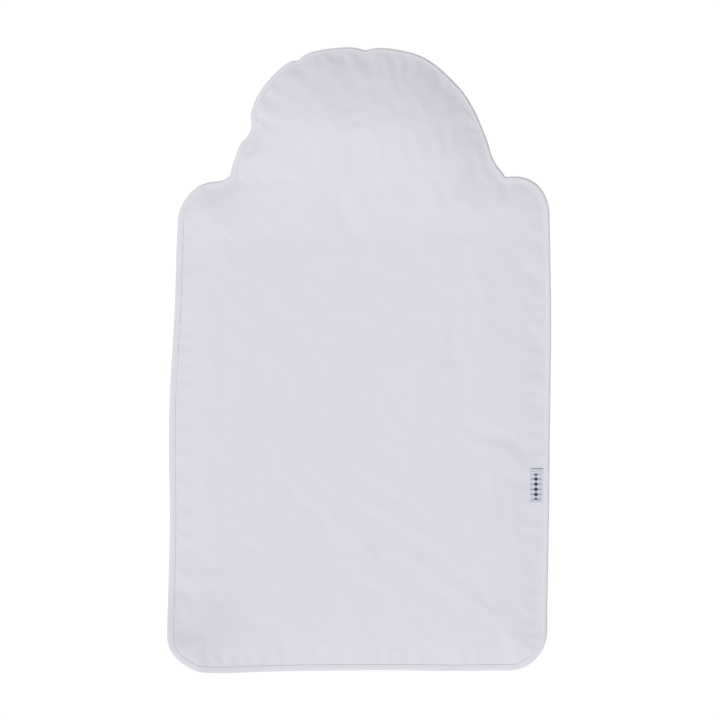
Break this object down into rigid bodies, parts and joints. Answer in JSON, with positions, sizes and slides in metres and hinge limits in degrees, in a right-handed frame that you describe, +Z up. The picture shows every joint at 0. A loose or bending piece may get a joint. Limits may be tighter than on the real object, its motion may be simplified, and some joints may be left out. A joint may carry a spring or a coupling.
{
  "type": "changing pad",
  "caption": "Padded mat with rounded corners and a stuffed dome-shaped pillow that folds at a sewn neck, bound round the edge with folded tape.",
  "frame": {"origin": "bottom centre of the whole pad's bounding box, on the table it lies on", "axes": "+X across the pad, +Y along it from the foot edge to the pillow, +Z up from the table"},
  "size_m": [0.495, 0.806, 0.032],
  "materials": {
    "cover_cloth": "soft brushed cloth, pale blue-white",
    "back_cloth": "plain woven cloth, pale blue-white",
    "binding_tape": "folded bias tape, pale blue-white",
    "thread": "matt sewing thread",
    "label_tape": "woven label tape with a plain navy pattern",
    "waterproof_film": "thin milky film",
    "wadding": "loose polyester fibre"
  },
  "bodies": {
    "mat": {"mat_top_cover": "cover_cloth", "mat_liner": "waterproof_film", "mat_wadding": "wadding", "mat_back_cover": "back_cloth", "mat_binding": "binding_tape", "mat_binding_top_thread": "thread", "mat_binding_back_thread": "thread", "neck_seam_thread": "thread", "side_label": "label_tape", "side_label_thread": "thread"},
    "pillow": {"pillow_top_cover": "cover_cloth", "pillow_liner": "waterproof_film", "pillow_filling": "wadding", "pillow_back_cover": "back_cloth", "pillow_binding": "binding_tape", "pillow_binding_top_thread": "thread", "pillow_binding_back_thread": "thread"}
  },
  "joints": [
    {"name": "neck_fold", "type": "hinge", "parent": "mat", "child": "pillow", "pos_m": [0, 0.228, 0.005], "axis": [1, 0, 0], "range_deg": [0, 130]}
  ]
}
